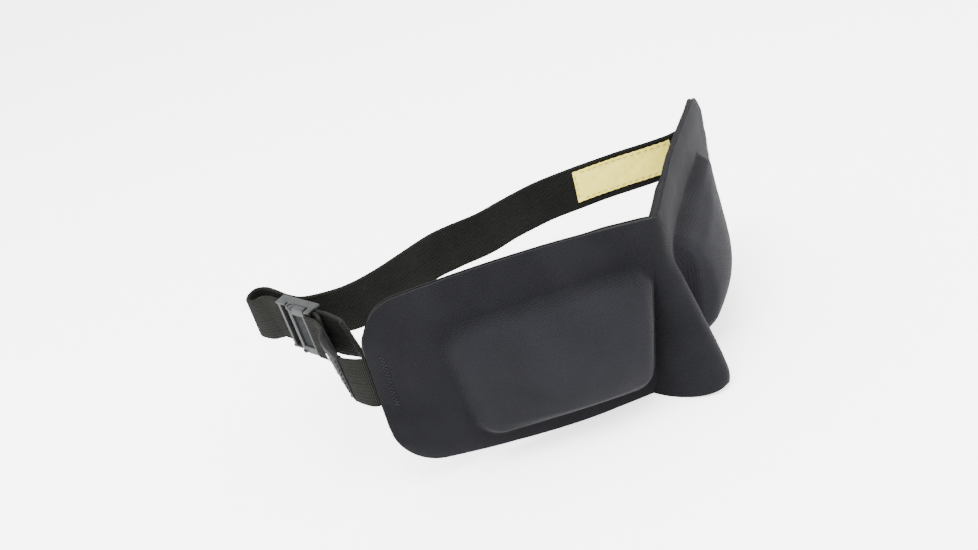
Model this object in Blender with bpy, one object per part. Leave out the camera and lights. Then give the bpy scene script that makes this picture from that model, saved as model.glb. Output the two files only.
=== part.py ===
"""Contoured eye mask with an elastic head strap and a cam buckle.

The mask stands upright as it is worn: +Z is up, -Y is the front, +X is the right lobe seen from the
front. Sizes are written in millimetres and become metres when a mesh is made. The design frame has
x = 0 on the nose ridge, y = 0 a little behind the fold of the two lobes and z = 0 on the lowest
rim. The last step moves everything so that the origin is under the middle of the whole object.
"""
import math

import bpy
from mathutils import Euler, Matrix, Vector

MM = 0.001

# Lobes: two nearly flat panels folded back from the nose.
LOBE_SWEEP = math.radians(27.65)
LOBE_LENGTH = 121.4
LOBE_HEIGHT = 73.5
TOP_RISE = 7.0
BOTTOM_RISE = 12.7
BOTTOM_FLAT = 34.0
FOLD_Y = -3.5
FOLD_SOFTNESS = 3.5
TOP_CORNER_RADIUS = 16.0
BOTTOM_CORNER_RADIUS = 17.0
RIM_ROLL = 1.6
RIM_ROLL_WIDTH = 8.0

# Nose flare: a U-shaped funnel whose ridge runs down and forward.
FLARE_HALF_WIDTH = 14.0
FLARE_TAPER = 0.142
FLARE_TOP_Z = 57.0
RIDGE_TOP_Z = 52.0
FLARE_REACH = 18.5
FLARE_TIP_RISE = 4.5
NOSE_SPAN = 20.0

# Eye cups: rounded rectangles that stand out of the lobes, deepest near the nose.
CUP_OUTER_S = 95.5
CUP_OUTER_LEAN = 0.12
CUP_TOP_Z = 58.5
CUP_BOTTOM_Z = 4.5
CUP_CORNER_RADIUS = 11.0
CUP_STEP = 4.5
CUP_STEP_WIDTH = 6.0
CUP_CROWN = 12.0

# Laminate: cover, foam and lining, with the clearance that separate solids keep.
COVER_THICKNESS = 0.6
LINING_THICKNESS = 0.6
EDGE_THICKNESS = 2.4
BODY_THICKNESS = 5.0
EDGE_TAPER_WIDTH = 9.0
NOSE_THICKNESS = 3.4
SKIN_INSET = 0.3
GAP = 0.3
NOSE_COLUMNS = 9
ROOT_COLUMNS = 3
LOBE_COLUMNS = 17
ROWS = 16

# Straps.
STRAP_WIDTH = 21.2
STRAP_THICKNESS = 1.6
ANCHOR_THICKNESS = 1.3
STRAP_Z = 50.4
POCKET_DEPTH = 14.0
POCKET_STRAP_DEPTH = 2.3
POCKET_SWELL = 2.0
TIGHTEN_TRAVEL = 6.0
LOOSEN_TRAVEL = 4.0

# Buckle, in its own frame: +Y to the rear along the strap, -X outward, Z across the strap.
BUCKLE_PLACE = Vector((-92.5, 112.7, 53.8))
BUCKLE_TILT = Euler((math.radians(4.5), math.radians(-6), math.radians(6)), "XYZ")
BUCKLE_HALF_HEIGHT = 11.8
BUCKLE_WALL = 0.9
BUCKLE_REAR = 11.3
BUCKLE_FRONT = -9.3
FLOOR_INNER_X = 1.8
FLOOR_OUTER_X = 3.0
EAR_RADIUS = 1.9
PIVOT_HOLE_RADIUS = 1.05
CAM_RADIUS = 1.45
STUB_RADIUS = 0.75
STRAP_LANE_X = 0.6
PIVOT_X = -2.0
PIVOT_Y = 3.0
ANCHOR_BAR_X = -2.9
ANCHOR_BAR_Y = -8.3
ANCHOR_BAR_RADIUS = 0.8

ROOT = "mask_frame"
BUCKLE = "buckle_frame_axes"


# ---------------------------------------------------------------- scene and material helpers

def clear_scene():
    for obj in list(bpy.data.objects):
        bpy.data.objects.remove(obj, do_unlink=True)


def material(name, colour, roughness):
    mat = bpy.data.materials.new(name)
    mat.use_nodes = True
    shader = mat.node_tree.nodes["Principled BSDF"]
    shader.inputs["Base Color"].default_value = (*colour, 1.0)
    shader.inputs["Roughness"].default_value = roughness
    return mat


def add_empty(name, place=Vector(), tilt=None, parent=None):
    empty = bpy.data.objects.new(name, None)
    bpy.context.scene.collection.objects.link(empty)
    empty.parent = parent
    empty.location = place * MM
    if tilt:
        empty.rotation_euler = tilt
    return empty


def add_mesh(name, verts, faces, mat, parent, smooth=True):
    mesh = bpy.data.meshes.new(name)
    mesh.from_pydata([Vector(v) * MM for v in verts], [], faces)
    mesh.materials.append(mat)
    mesh.update()
    if smooth:
        mesh.shade_smooth()
        mesh.set_sharp_from_angle(angle=math.radians(35))
    obj = bpy.data.objects.new(name, mesh)
    bpy.context.scene.collection.objects.link(obj)
    obj.parent = parent
    return obj


def smoothstep(value):
    t = min(max(value, 0.0), 1.0)
    return t * t * (3.0 - 2.0 * t)


# ---------------------------------------------------------------- mask surface

def top_z(s):
    """Upper outline of a lobe, before its outer corner is rounded."""
    return LOBE_HEIGHT + TOP_RISE * (1.0 - (1.0 - s / 100.0) ** 2)


def bottom_z(s):
    """Lower outline of a lobe: flat near the nose, rising towards the outer end."""
    return BOTTOM_RISE * (max(s - BOTTOM_FLAT, 0.0) / (LOBE_LENGTH - BOTTOM_FLAT)) ** 1.7


def corner_drop(s, radius):
    """How far a rounded outer corner eats into the outline at distance s from the nose."""
    run = max(s - (LOBE_LENGTH - radius), 0.0)
    return radius - math.sqrt(max(radius ** 2 - run ** 2, 0.0))


def row_limits(s):
    low = bottom_z(s) + corner_drop(s, BOTTOM_CORNER_RADIUS)
    high = top_z(s) - corner_drop(s, TOP_CORNER_RADIUS)
    return low, high


def flare_half_width(z):
    return FLARE_HALF_WIDTH - FLARE_TAPER * min(z, FLARE_TOP_Z)


def foot_s(z):
    """Distance along the lobe where the flare's side wall meets it."""
    return flare_half_width(z) / math.cos(LOBE_SWEEP)


def cup_outer_s(z):
    """Outer side of the cup, which leans towards the nose at the bottom."""
    return CUP_OUTER_S - CUP_OUTER_LEAN * (CUP_TOP_Z - z)


def cup_inset(s, z):
    """Distance inside the cup's rounded rectangular outline, zero or less outside it."""
    sides = min(s - foot_s(z), cup_outer_s(z) - s)
    ends = min(z - CUP_BOTTOM_Z - 0.085 * (s - 17.0), CUP_TOP_Z + 0.055 * (s - 12.0) - z)
    radius = CUP_CORNER_RADIUS
    if sides < radius and ends < radius:
        return radius - math.hypot(radius - sides, radius - ends)
    return min(sides, ends)


def cup_height(s, z):
    """Stand-out of the eye cup: a soft step round its outline and a crown that peaks near the nose."""
    inset = cup_inset(s, z)
    if inset <= 0.0:
        return 0.0
    along = min(max((s - foot_s(z)) / (cup_outer_s(z) - foot_s(z)), 0.0), 1.0)
    across = (z - CUP_BOTTOM_Z) / (CUP_TOP_Z + 2.0 - CUP_BOTTOM_Z)
    across = min(max(across, 0.0), 1.0)
    crown = math.sin(math.pi * along ** 0.62) * math.sin(math.pi * across) ** 0.8
    return CUP_STEP * smoothstep(inset / CUP_STEP_WIDTH) + CUP_CROWN * crown * smoothstep(inset / 9.0)


def rim_distance(s, z):
    low, high = row_limits(s)
    return max(min(z - low, high - z, LOBE_LENGTH - s), 0.0)


def lobe_point(s, z):
    """Point of the outer surface on the right lobe."""
    along = Vector((math.cos(LOBE_SWEEP), math.sin(LOBE_SWEEP), 0.0))
    outward = Vector((math.sin(LOBE_SWEEP), -math.cos(LOBE_SWEEP), 0.0))
    roll = max(1.0 - rim_distance(s, z) / RIM_ROLL_WIDTH, 0.0) ** 2
    height = cup_height(s, z) - RIM_ROLL * roll
    return Vector((0.0, FOLD_Y, z)) + along * s + outward * height


def ridge_y(z):
    reach = 1.0 - min(z / RIDGE_TOP_Z, 1.0) ** 1.25
    return FOLD_Y - FLARE_REACH * reach


def nose_point(turn, z):
    """Point on the flare: turn runs from 0 on the ridge to 1 where the side wall meets the lobe."""
    angle = turn * math.pi / 2.0
    half = flare_half_width(z)
    foot = lobe_point(foot_s(z), z)
    flare = Vector((half * math.sin(angle), foot.y - (foot.y - ridge_y(z)) * math.cos(angle), z))
    x = foot.x * turn
    slope = math.tan(LOBE_SWEEP)
    fold = Vector((x, foot.y - slope * (foot.x - math.hypot(x, FOLD_SOFTNESS)), z))
    fold.y -= slope * (math.hypot(foot.x, FOLD_SOFTNESS) - foot.x)
    return flare.lerp(fold, smoothstep((z - 45.0) / 14.0))


def column_fractions():
    """Half of the mask from the ridge to the outer end: flare turns first, then lobe distances."""
    flare = [("flare", k / NOSE_COLUMNS) for k in range(NOSE_COLUMNS + 1)]
    root = [("root", k / ROOT_COLUMNS) for k in range(1, ROOT_COLUMNS + 1)]
    lobe = []
    for k in range(1, LOBE_COLUMNS + 1):
        part = k / LOBE_COLUMNS
        eased = math.sin(part * math.pi / 2.0) * 0.45 + part * 0.55
        lobe.append(("lobe", eased))
    return flare + root + lobe


def outer_point(column, row):
    """Outer surface point of the right half; row runs from 0 at the lower rim to 1 at the upper rim."""
    kind, part = column
    if kind == "flare":
        low = FLARE_TIP_RISE * (1.0 - math.sin(part * math.pi / 2.0)) ** 2.2
        high = top_z(part * foot_s(FLARE_TOP_Z))
    elif kind == "root":
        low, high = row_limits(foot_s(FLARE_TOP_Z) * (1.0 - part) + NOSE_SPAN * part)
    else:
        low, high = row_limits(NOSE_SPAN + (LOBE_LENGTH - NOSE_SPAN) * part)
    z = low + (high - low) * row
    if kind == "flare":
        return nose_point(part, z)
    if kind == "root":
        start = foot_s(z)
        return lobe_point(start + (NOSE_SPAN - start) * part, z)
    return lobe_point(NOSE_SPAN + (LOBE_LENGTH - NOSE_SPAN) * part, z)


def thickness_at(column, point):
    kind, part = column
    if kind != "lobe":
        return NOSE_THICKNESS
    s = NOSE_SPAN + (LOBE_LENGTH - NOSE_SPAN) * part
    full = EDGE_THICKNESS + (BODY_THICKNESS - EDGE_THICKNESS) * smoothstep(
        rim_distance(s, point.z) / EDGE_TAPER_WIDTH)
    blend = smoothstep((s - NOSE_SPAN) / 12.0)
    swell = POCKET_SWELL * smoothstep((s - LOBE_LENGTH + 22.0) / 12.0)
    swell *= 1.0 - smoothstep((abs(point.z - STRAP_Z) - STRAP_WIDTH / 2.0 - 2.0) / 5.0)
    return NOSE_THICKNESS + (full - NOSE_THICKNESS) * blend + swell


def half_grid():
    """Outer points and level inward directions of the right half, column by column."""
    columns = column_fractions()
    points = [[outer_point(c, r / ROWS) for r in range(ROWS + 1)] for c in columns]
    inward = []
    for i in range(len(columns)):
        line = []
        for j in range(ROWS + 1):
            if i == 0:
                across = Vector((1.0, 0.0, 0.0))
            else:
                across = points[min(i + 1, len(columns) - 1)][j] - points[i - 1][j]
            up = points[i][min(j + 1, ROWS)] - points[i][max(j - 1, 0)]
            normal = up.cross(across).normalized()
            level = Vector((normal.x, normal.y, 0.0))
            steep = max(level.length, 0.6)
            line.append(level.normalized() / steep)
        inward.append(line)
    return columns, points, inward


def layer_depths(layer, total):
    """Front and back depth of a laminate layer below the outer surface."""
    if layer == "cover":
        return 0.0, COVER_THICKNESS
    if layer == "foam":
        return COVER_THICKNESS + GAP, total - LINING_THICKNESS - GAP
    return total - LINING_THICKNESS, total


def mask_layer(name, layer, mat, parent):
    """One closed sheet of the laminate, both lobes and the flare in one piece."""
    columns, points, inward = half_grid()
    count = len(columns)
    sheets = []
    for side in (0, 1):
        sheet = []
        for i in list(range(count - 1, 0, -1)) + list(range(count)):
            mirrored = len(sheet) < count - 1
            for j in range(ROWS + 1):
                depth = layer_depths(layer, thickness_at(columns[i], points[i][j]))[side]
                place = points[i][j] + inward[i][j] * depth
                if layer != "foam":
                    place.z += SKIN_INSET * ((j == 0) - (j == ROWS))
                if mirrored:
                    place = Vector((-place.x, place.y, place.z))
                elif i == 0:
                    place.x = 0.0
                if j == 0:
                    sheet.append([])
                sheet[-1].append(place)
        sheets.append(sheet)
    verts = [p for sheet in sheets for line in sheet for p in line]
    wide = 2 * count - 1
    tall = ROWS + 1
    back = wide * tall
    faces = []
    for i in range(wide - 1):
        for j in range(ROWS):
            a, b = i * tall + j, (i + 1) * tall + j
            for triangle in ((a, b, b + 1), (a, b + 1, a + 1)):
                faces.append(triangle)
                faces.append(tuple(back + v for v in reversed(triangle)))
    ring = [i * tall for i in range(wide)] + [(wide - 1) * tall + j for j in range(1, tall)]
    ring += [i * tall + ROWS for i in range(wide - 2, -1, -1)] + list(range(ROWS - 1, 0, -1))
    for k, a in enumerate(ring):
        b = ring[(k + 1) % len(ring)]
        faces.append((a, back + a, back + b, b))
    return add_mesh(name, verts, faces, mat, parent)


def surface_frame(side, s, z, depth):
    """Point at a depth below the outer surface of a lobe; side is +1 right, -1 left."""
    here = lobe_point(s, z)
    ahead = lobe_point(min(s + 0.5, LOBE_LENGTH), z) - lobe_point(s - 0.5, z)
    inner = Vector((-ahead.y, ahead.x, 0.0)).normalized()
    place = here + inner * depth
    return Vector((side * place.x, place.y, place.z))


# ---------------------------------------------------------------- ribbons and threads

def spline(points, steps):
    """Smooth curve through vectors of any size, with a fixed number of steps to each span."""
    curve = []
    last = len(points) - 1
    for i in range(last):
        p0, p1, p2, p3 = (points[min(max(i + k, 0), last)] for k in (-1, 0, 1, 2))
        for k in range(steps):
            t = k / steps
            curve.append(0.5 * ((2 * p1) + (p2 - p0) * t + (2 * p0 - 5 * p1 + 4 * p2 - p3) * t * t
                                + (3 * p1 - p0 - 3 * p2 + p3) * t ** 3))
    curve.append(points[-1].copy())
    return curve


def stations(points, steps):
    """Smooth (centre, up) pairs from (centre, lean) pairs; lean is the top's offset per unit height."""
    centres = spline([p for p, _ in points], steps)
    ups = spline([u for _, u in points], steps)
    return [(c, u.normalized()) for c, u in zip(centres, ups)]


def ribbon_rings(path, width, thickness):
    """Four corners at every station of a flat strap."""
    rings = []
    for k, (centre, up) in enumerate(path):
        ahead = path[min(k + 1, len(path) - 1)][0] - path[max(k - 1, 0)][0]
        across = ahead.cross(up).normalized()
        up = across.cross(ahead).normalized()
        half_w, half_t = up * (width / 2.0), across * (thickness / 2.0)
        rings.append([centre - half_w - half_t, centre + half_w - half_t,
                      centre + half_w + half_t, centre - half_w + half_t])
    return rings


def sweep_faces(ring_count, sides, closed):
    faces = []
    for k in range(ring_count if closed else ring_count - 1):
        a = k * sides
        b = ((k + 1) % ring_count) * sides
        for m in range(sides):
            n = (m + 1) % sides
            faces.append((a + m, a + n, b + n, b + m))
    if not closed:
        faces.append(tuple(range(sides - 1, -1, -1)))
        faces.append(tuple((ring_count - 1) * sides + m for m in range(sides)))
    return faces


def ribbon(name, path, width, thickness, mat, parent):
    rings = ribbon_rings(path, width, thickness)
    verts = [v for ring in rings for v in ring]
    return add_mesh(name, verts, sweep_faces(len(rings), 4, False), mat, parent)


def thread(name, points, radius, mat, parent, closed=False):
    """Six-sided thread along a list of points."""
    rings = []
    count = len(points)
    for k, point in enumerate(points):
        if closed:
            ahead = points[(k + 1) % count] - points[k - 1]
        else:
            ahead = points[min(k + 1, count - 1)] - points[max(k - 1, 0)]
        ahead.normalize()
        side = ahead.cross(Vector((0.31, 0.52, 0.79))).normalized()
        over = ahead.cross(side)
        rings.append([point + radius * (math.cos(m * math.pi / 3) * side + math.sin(m * math.pi / 3) * over)
                      for m in range(6)])
    verts = [v for ring in rings for v in ring]
    return add_mesh(name, verts, sweep_faces(count, 6, closed), mat, parent)


def offset_path(path, distance):
    """The same stations moved sideways, along the strap's face normal."""
    moved = []
    for k, (centre, up) in enumerate(path):
        ahead = path[min(k + 1, len(path) - 1)][0] - path[max(k - 1, 0)][0]
        moved.append((centre + ahead.cross(up).normalized() * distance, up))
    return moved


# ---------------------------------------------------------------- strap routes

def level(x, y, z=STRAP_Z):
    return Vector((x, y, z)), Vector((0.0, 0.0, 1.0))


def leaning(x, y, z, lean_x, lean_y):
    return Vector((x, y, z)), Vector((lean_x, lean_y, 1.0)).normalized()


def in_buckle(x, y):
    """Station given in the buckle's own frame."""
    turn = BUCKLE_TILT.to_matrix()
    return BUCKLE_PLACE + turn @ Vector((x, y, 0.0)), turn @ Vector((0.0, 0.0, 1.0))


def pocket_route(side):
    """Strap end sandwiched in a lobe, from its hidden end to the lobe's outer edge."""
    reach = [LOBE_LENGTH - POCKET_DEPTH + 1.0 + 2.5 * k for k in range(6)]
    return [(surface_frame(side, s, STRAP_Z, POCKET_STRAP_DEPTH), Vector((0, 0, 1))) for s in reach]


def main_route():
    """From the right lobe round the back of the head, then doubled back behind the buckle."""
    bulge = [level(107.1, 57.0), level(108.2, 59.3), level(107.0, 61.9), level(103.2, 63.6),
             level(98.8, 64.4)]
    back = [level(93.5, 65.8), level(83, 71.5), level(69, 80), level(54, 88), level(37.5, 95.5)]
    rear = [level(20, 99.5), level(2, 101.5), level(-12, 106.5), level(-24, 109.5), level(-40, 109)]
    side = [level(-55, 109), level(-67, 110.5), leaning(-76, 115.5, 50.7, -0.04, -0.05)]
    end = [leaning(-83.2, 124, 51.0, -0.1, -0.15), leaning(-85.8, 131.5, 52.4, -0.14, -0.2),
           leaning(-87.0, 138, 53.9, -0.15, -0.24)]
    turn = [leaning(-88.0, 143.2, 54.7, -0.16, -0.27), leaning(-90.4, 146.7, 54.7, -0.16, -0.27),
            leaning(-93.4, 147.0, 53.9, -0.16, -0.27), leaning(-95.3, 144.6, 53.1, -0.16, -0.26)]
    return stations(pocket_route(1) + bulge + back + rear + side + end + turn, 4)


def fold_route():
    """Short leg between the turn and the tail, which gets longer or shorter as the tail slides."""
    rear = BUCKLE_REAR + TIGHTEN_TRAVEL
    slack = [leaning(-95.75, 141.9, 52.75, -0.16, -0.25), leaning(-95.45, 139.2, 53.2, -0.14, -0.21)]
    return stations(slack + [in_buckle(STRAP_LANE_X, rear + 5.3)], 4) + [
        in_buckle(STRAP_LANE_X, rear + 3.8), in_buckle(STRAP_LANE_X, rear + 2.4)]


def tail_route():
    """Straight through the buckle with spare length at both ends, then the twisted free end."""
    rear = BUCKLE_REAR + TIGHTEN_TRAVEL + 2.0
    front = ANCHOR_BAR_Y - ANCHOR_BAR_RADIUS - LOOSEN_TRAVEL - 2.4
    straight = [in_buckle(STRAP_LANE_X, rear + (front - rear) * k / 6.0) for k in range(7)]
    free = [leaning(-90.6, 86.8, 53.4, -0.25, -0.24), leaning(-92.6, 81.2, 53.7, -0.43, -0.35)]
    bend = stations([straight[-1]] + free, 4)
    return straight[:-1] + bend


def anchor_route():
    """From the left lobe, round the buckle's anchor bar and back to the seam."""
    rise = [level(-107.1, 57.1), leaning(-108.4, 60.8, STRAP_Z, -0.03, 0.0),
            leaning(-108.9, 67.5, 50.6, -0.1, -0.02), leaning(-106.3, 76, 51.1, -0.18, -0.05),
            leaning(-102.7, 84, 51.6, -0.22, -0.07), leaning(-98.1, 90.5, 52.2, -0.2, -0.09)]
    outer = [in_buckle(-5.2, -14.5), in_buckle(-4.7, -11.4)]
    radius = ANCHOR_BAR_RADIUS + 0.25 + ANCHOR_THICKNESS / 2.0
    wrap = []
    for k in range(5):
        angle = math.pi * (1.0 - k / 4.0)
        wrap.append(in_buckle(ANCHOR_BAR_X + radius * math.cos(angle),
                              ANCHOR_BAR_Y + radius * math.sin(angle)))
    inner = [in_buckle(-1.5, -11.2), in_buckle(-3.9, -15.2)]
    return stations(pocket_route(-1) + rise + outer + wrap + inner, 4)


# ---------------------------------------------------------------- labels and stitches

def nearest(path, x, y):
    target = Vector((x, y))
    return min(range(len(path)), key=lambda k: (path[k][0].xy - target).length)


def care_label(route, label_mat, thread_mat, parent):
    """Printed tape sewn to the inner face of the strap, behind the right lobe."""
    part = route[nearest(route, 94, 65):nearest(route, 52, 89) + 1]
    lift = -(STRAP_THICKNESS / 2.0 + GAP + 0.2)
    ribbon("care_label", offset_path(part, lift), 17.0, 0.4, label_mat, parent)
    outer = offset_path(part, lift - 0.2 - GAP - 0.2)[1:-1]
    upper = [centre + up * 7.2 for centre, up in outer]
    lower = [centre - up * 7.2 for centre, up in reversed(outer)]
    thread("care_label_thread", upper + lower, 0.2, thread_mat, parent, closed=True)


def sleeve(name, path, width, gap_inside, wall, mat, parent):
    """Flat tube wrapped round a strap: outer skin, inner skin and two open ends."""
    inner = ribbon_rings(path, width, gap_inside)
    outer = ribbon_rings(path, width + 2 * wall, gap_inside + 2 * wall)
    count = len(path)
    verts = [v for ring in outer for v in ring] + [v for ring in inner for v in ring]
    faces = []
    base = count * 4
    for face in sweep_faces(count, 4, False)[:-2]:
        faces.append(face)
        faces.append(tuple(base + v for v in reversed(face)))
    for m in range(4):
        n = (m + 1) % 4
        faces.append((m, base + m, base + n, n))
        end = (count - 1) * 4
        faces.append((end + n, base + end + n, base + end + m, end + m))
    return add_mesh(name, verts, faces, mat, parent)


def fold_over_label(route, label_mat, thread_mat, parent):
    """Woven label folded round the anchor strap, with the seam that closes it."""
    first, last = nearest(route, -108.6, 67), nearest(route, -99.2, 90)
    part = route[first:last + 1]
    sleeve("woven_label", part, STRAP_WIDTH + 2 * GAP, ANCHOR_THICKNESS + 2 * GAP, 0.35, label_mat, parent)
    seam_at = offset_path(part, -(ANCHOR_THICKNESS / 2.0 + 2 * GAP + 0.35 + 0.25))[1]
    seam = [seam_at[0] + seam_at[1] * (STRAP_WIDTH / 2.0 - 1.0) * (k / 5.0 - 1.0) for k in range(11)]
    thread("woven_label_thread", seam, 0.22, thread_mat, parent)


def lobe_tack(name, side, mat, parent):
    """Zigzag bar of thread that holds a strap end, on the front of a lobe."""
    points = []
    for k in range(19):
        s = LOBE_LENGTH - 5.3 + 0.9 * (1 if k % 2 else -1)
        z = STRAP_Z - 11.0 + 22.0 * k / 18.0
        points.append(surface_frame(side, s, z, -0.65))
    thread(name, points, 0.3, mat, parent)


def anchor_bartack(route, mat, parent):
    """Row of thread that closes the anchor strap's loop, on its outer ply."""
    seam = offset_path(route, -(ANCHOR_THICKNESS / 2.0 + GAP + 0.25))[nearest(route, -96.0, 96.5)]
    ahead = Vector((0.9, 0.0, 0.0))
    points = []
    for k in range(15):
        across = (STRAP_WIDTH / 2.0 - 1.2) * (k / 7.0 - 1.0)
        points.append(seam[0] + seam[1] * across + ahead * (0.5 if k % 2 else -0.5) * 0.2)
    thread("anchor_bartack", points, 0.25, mat, parent)


# ---------------------------------------------------------------- buckle

def box(name, low, high, mat, parent):
    (x0, y0, z0), (x1, y1, z1) = low, high
    verts = [(x, y, z) for x in (x0, x1) for y in (y0, y1) for z in (z0, z1)]
    faces = [(0, 1, 3, 2), (4, 6, 7, 5), (0, 4, 5, 1), (2, 3, 7, 6), (0, 2, 6, 4), (1, 5, 7, 3)]
    return add_mesh(name, verts, faces, mat, parent, smooth=False)


def rod(name, x, y, low, high, radius, mat, parent, sides=20):
    """Round bar across the strap, parallel to the buckle's own Z."""
    verts = []
    for z in (low, high):
        for k in range(sides):
            angle = 2.0 * math.pi * k / sides
            verts.append((x + radius * math.cos(angle), y + radius * math.sin(angle), z))
    faces = [tuple(range(sides - 1, -1, -1)), tuple(range(sides, 2 * sides))]
    for k in range(sides):
        n = (k + 1) % sides
        faces.append((k, n, sides + n, sides + k))
    return add_mesh(name, verts, faces, mat, parent, smooth=False)


def combine(target, other, operation):
    """Join or cut with a hidden guide solid."""
    other.hide_render = True
    other.display_type = "WIRE"
    step = target.modifiers.new(other.name, "BOOLEAN")
    step.operation = operation
    step.object = other
    step.solver = "EXACT"


def buckle_frame(mat, parent):
    """Channel with a floor, two side walls, pivot ears, a rear guide bar and the anchor bar."""
    half = BUCKLE_HALF_HEIGHT
    lane = half - BUCKLE_WALL
    front, rear = BUCKLE_FRONT, BUCKLE_REAR
    frame = box("buckle_frame", (FLOOR_INNER_X, front + 3.7, -half), (FLOOR_OUTER_X, rear, half), mat, parent)
    for sign, tag in ((1, "upper"), (-1, "lower")):
        z0, z1 = sorted((sign * lane, sign * half))
        pieces = [box(f"guide_wall_{tag}", (-0.7, front, z0), (FLOOR_OUTER_X, rear - 4.7, z1), mat, parent),
                  box(f"guide_shoulder_{tag}", (-2.1, rear - 5.3, z0), (FLOOR_OUTER_X, rear, z1), mat,
                      parent),
                  box(f"guide_nose_{tag}", (-3.7, front, z0), (-0.3, front + 2.8, z1), mat, parent),
                  rod(f"guide_ear_{tag}", PIVOT_X, PIVOT_Y, z0, z1, EAR_RADIUS, mat, parent),
                  box(f"guide_ear_root_{tag}", (-1.6, 1.2, z0), (-0.5, 4.8, z1), mat, parent)]
        for piece in pieces:
            combine(frame, piece, "UNION")
    bar = box("guide_rear_bar", (-1.9, rear - 2.0, -lane - 0.5), (-0.6, rear - 0.6, lane + 0.5), mat, parent)
    combine(frame, bar, "UNION")
    anchor = rod("guide_anchor_bar", ANCHOR_BAR_X, ANCHOR_BAR_Y, -lane - 0.5, lane + 0.5,
                 ANCHOR_BAR_RADIUS, mat, parent, 12)
    combine(frame, anchor, "UNION")
    hole = rod("cutter_pivot_hole", PIVOT_X, PIVOT_Y, -half - 1, half + 1, PIVOT_HOLE_RADIUS, mat, parent)
    combine(frame, hole, "DIFFERENCE")
    window = box("cutter_floor_window", (1.0, -3.0, -7.0), (4.0, 7.0, 7.0), mat, parent)
    combine(frame, window, "DIFFERENCE")
    return frame


def cam_lever(mat, parent):
    """Thumb lever: a plate with a recessed grip window and a rounded cam end on its pivot stubs."""
    half = BUCKLE_HALF_HEIGHT
    lane = half - BUCKLE_WALL
    pivot = add_empty("lever_pivot_axes", Vector((PIVOT_X, PIVOT_Y, 0.0)), parent=parent)
    plate = box("cam_lever", (-1.4, -8.4, -half), (1.0, -2.25, half), mat, pivot)
    neck = box("guide_lever_neck", (-1.4, -3.0, -lane + GAP), (1.0, 0.2, lane - GAP), mat, pivot)
    combine(plate, neck, "UNION")
    cam = rod("guide_cam", 0.0, 0.0, -lane + GAP, lane - GAP, CAM_RADIUS, mat, pivot)
    combine(plate, cam, "UNION")
    stubs = rod("guide_stubs", 0.0, 0.0, -half + 0.2, half - 0.2, STUB_RADIUS, mat, pivot, 16)
    combine(plate, stubs, "UNION")
    grip = box("cutter_grip_window", (-2.0, -7.0, -8.3), (-0.2, -1.0, 8.3), mat, pivot)
    combine(plate, grip, "DIFFERENCE")
    return plate


# ---------------------------------------------------------------- assembly

def cut_pockets(foam, mat, parent):
    """Slots in the foam where the strap ends are sandwiched."""
    for side, tag in ((1, "right"), (-1, "left")):
        middle = surface_frame(side, LOBE_LENGTH - POCKET_DEPTH / 2.0 + 2.0, STRAP_Z, 2.0)
        holder = add_empty(f"pocket_axes_{tag}", middle, Euler((0, 0, side * LOBE_SWEEP)), parent)
        half = (POCKET_DEPTH / 2.0 + 2.0, 8.0, STRAP_WIDTH / 2.0 + GAP)
        cutter = box(f"cutter_pocket_{tag}", [-h for h in half], half, mat, holder)
        combine(foam, cutter, "DIFFERENCE")


def centre_on_origin(root):
    """Put the origin under the middle of the whole object's box."""
    bpy.context.view_layer.update()
    graph = bpy.context.evaluated_depsgraph_get()
    places = []
    for obj in bpy.context.scene.objects:
        if obj.type == "MESH" and not obj.hide_render:
            solid = obj.evaluated_get(graph)
            places += [solid.matrix_world @ v.co for v in solid.data.vertices]
    low = [min(p[k] for p in places) for k in range(3)]
    high = [max(p[k] for p in places) for k in range(3)]
    root.location = (-(low[0] + high[0]) / 2, -(low[1] + high[1]) / 2, -low[2])
    bpy.context.view_layer.update()


def build():
    clear_scene()
    knit = material("charcoal_knit", (0.045, 0.047, 0.056), 0.85)
    foam_mat = material("grey_foam", (0.12, 0.12, 0.13), 0.9)
    lining_mat = material("black_lining", (0.02, 0.02, 0.023), 0.9)
    webbing = material("black_elastic", (0.022, 0.023, 0.02), 0.8)
    plastic = material("grey_plastic", (0.09, 0.095, 0.1), 0.42)
    pale = material("pale_yellow_tape", (0.8, 0.76, 0.36), 0.7)
    cotton = material("yellow_thread", (0.72, 0.68, 0.35), 0.7)
    black_thread = material("black_thread", (0.03, 0.03, 0.034), 0.7)

    root = add_empty(ROOT)
    mask_layer("front_cover", "cover", knit, root)
    foam = mask_layer("foam_core", "foam", foam_mat, root)
    cut_pockets(foam, foam_mat, root)
    mask_layer("inner_lining", "lining", lining_mat, root)
    lobe_tack("left_lobe_tack", -1, black_thread, root)
    lobe_tack("right_lobe_tack", 1, black_thread, root)

    route = main_route()
    ribbon("main_strap", route, STRAP_WIDTH, STRAP_THICKNESS, webbing, root)
    ribbon("strap_fold", fold_route(), STRAP_WIDTH, STRAP_THICKNESS, webbing, root)
    ribbon("strap_tail", tail_route(), STRAP_WIDTH, STRAP_THICKNESS, webbing, root)
    care_label(route, pale, cotton, root)

    anchor = anchor_route()
    ribbon("anchor_strap", anchor, STRAP_WIDTH, ANCHOR_THICKNESS, webbing, root)
    fold_over_label(anchor, black_thread, black_thread, root)
    anchor_bartack(anchor, black_thread, root)

    buckle = add_empty(BUCKLE, BUCKLE_PLACE, BUCKLE_TILT, root)
    buckle_frame(plastic, buckle)
    cam_lever(plastic, buckle)
    centre_on_origin(root)


build()
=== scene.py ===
import math

import bmesh
import bpy
import numpy as np
from mathutils import Euler, Matrix, Vector, noise


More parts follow.
